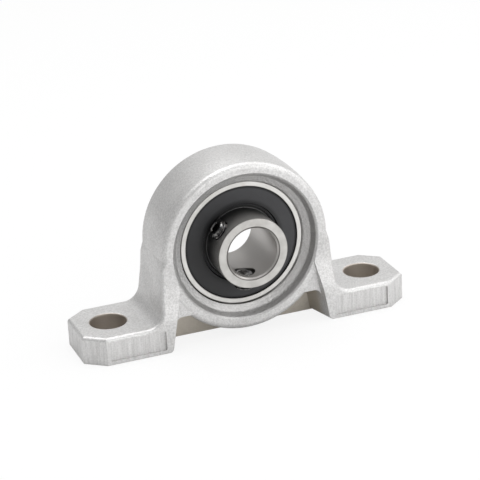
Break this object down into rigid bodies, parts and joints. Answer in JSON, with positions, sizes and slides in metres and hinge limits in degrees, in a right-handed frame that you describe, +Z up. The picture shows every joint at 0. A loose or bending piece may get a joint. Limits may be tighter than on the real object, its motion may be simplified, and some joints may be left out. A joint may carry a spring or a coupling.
{
  "type": "pillow block bearing",
  "caption": "Die-cast pillow block with crowned arch, cut-cornered bolt feet and a sealed self-aligning insert bearing, its long inner ring clamped by set screws.",
  "frame": {"origin": "on the mounting face, midway between the bolt holes, below the centre of the bearing", "axes": "+Z up from the mounting face, X along the two feet, Y along the shaft with the long end of the inner ring at -Y"},
  "size_m": [0.0664, 0.0178, 0.0351],
  "materials": {
    "cast_zinc": "fine-grained die-cast zinc alloy, silver grey",
    "ground_steel": "ground bearing steel",
    "ball_steel": "polished bearing steel",
    "sheet_steel": "pressed steel sheet",
    "seal_rubber": "moulded nitrile rubber, charcoal black",
    "black_steel": "black oxide steel"
  },
  "bodies": {
    "housing": {"housing": "cast_zinc"},
    "insert": {"outer_ring": "ground_steel", "front_seal": "seal_rubber", "front_seal_core": "sheet_steel", "rear_seal": "seal_rubber", "rear_seal_core": "sheet_steel"},
    "inner_ring": {"inner_ring": "ground_steel"},
    "cage": {"cage_front": "sheet_steel", "cage_rear": "sheet_steel", "cage_rivets": "sheet_steel"},
    "ball_1": {"ball_1": "ball_steel"},
    "ball_2": {"ball_2": "ball_steel"},
    "ball_3": {"ball_3": "ball_steel"},
    "ball_4": {"ball_4": "ball_steel"},
    "ball_5": {"ball_5": "ball_steel"},
    "ball_6": {"ball_6": "ball_steel"},
    "ball_7": {"ball_7": "ball_steel"},
    "set_screw_upper": {"set_screw_upper": "black_steel"},
    "set_screw_lower": {"set_screw_lower": "black_steel"}
  },
  "joints": [
    {"name": "self_alignment", "type": "hinge", "parent": "housing", "child": "insert", "pos_m": [0, 0, 0.018], "axis": [1, 0, 0], "range_deg": [-3, 3]},
    {"name": "shaft_spin", "type": "hinge", "parent": "insert", "child": "inner_ring", "pos_m": [0, 0, 0.018], "axis": [0, -1, 0], "continuous": true},
    {"name": "cage_orbit", "type": "hinge", "parent": "insert", "child": "cage", "pos_m": [0, 0, 0.018], "axis": [0, -1, 0], "continuous": true},
    {"name": "ball_1_spin", "type": "hinge", "parent": "cage", "child": "ball_1", "pos_m": [0.009, 0, 0.018], "axis": [0, -1, 0], "continuous": true},
    {"name": "ball_2_spin", "type": "hinge", "parent": "cage", "child": "ball_2", "pos_m": [0.00561, 0, 0.02504], "axis": [0, -1, 0], "continuous": true},
    {"name": "ball_3_spin", "type": "hinge", "parent": "cage", "child": "ball_3", "pos_m": [-0.002, 0, 0.02677], "axis": [0, -1, 0], "continuous": true},
    {"name": "ball_4_spin", "type": "hinge", "parent": "cage", "child": "ball_4", "pos_m": [-0.00811, 0, 0.02191], "axis": [0, -1, 0], "continuous": true},
    {"name": "ball_5_spin", "type": "hinge", "parent": "cage", "child": "ball_5", "pos_m": [-0.00811, 0, 0.01409], "axis": [0, -1, 0], "continuous": true},
    {"name": "ball_6_spin", "type": "hinge", "parent": "cage", "child": "ball_6", "pos_m": [-0.002, 0, 0.00923], "axis": [0, -1, 0], "continuous": true},
    {"name": "ball_7_spin", "type": "hinge", "parent": "cage", "child": "ball_7", "pos_m": [0.00561, 0, 0.01096], "axis": [0, -1, 0], "continuous": true},
    {"name": "set_screw_upper_travel", "type": "slide", "parent": "inner_ring", "child": "set_screw_upper", "axis": [0.7604, 0, -0.6494], "range_m": [-0.0012, 0.001]},
    {"name": "set_screw_lower_travel", "type": "slide", "parent": "inner_ring", "child": "set_screw_lower", "axis": [0.1305, 0, 0.9914], "range_m": [-0.0012, 0.001]}
  ],
  "couplings": [
    {"joint": "cage_orbit", "follows": "shaft_spin", "ratio": 0.36772},
    {"joint": "ball_1_spin", "follows": "shaft_spin", "ratio": -1.7577},
    {"joint": "ball_2_spin", "follows": "shaft_spin", "ratio": -1.7577},
    {"joint": "ball_3_spin", "follows": "shaft_spin", "ratio": -1.7577},
    {"joint": "ball_4_spin", "follows": "shaft_spin", "ratio": -1.7577},
    {"joint": "ball_5_spin", "follows": "shaft_spin", "ratio": -1.7577},
    {"joint": "ball_6_spin", "follows": "shaft_spin", "ratio": -1.7577},
    {"joint": "ball_7_spin", "follows": "shaft_spin", "ratio": -1.7577}
  ]
}
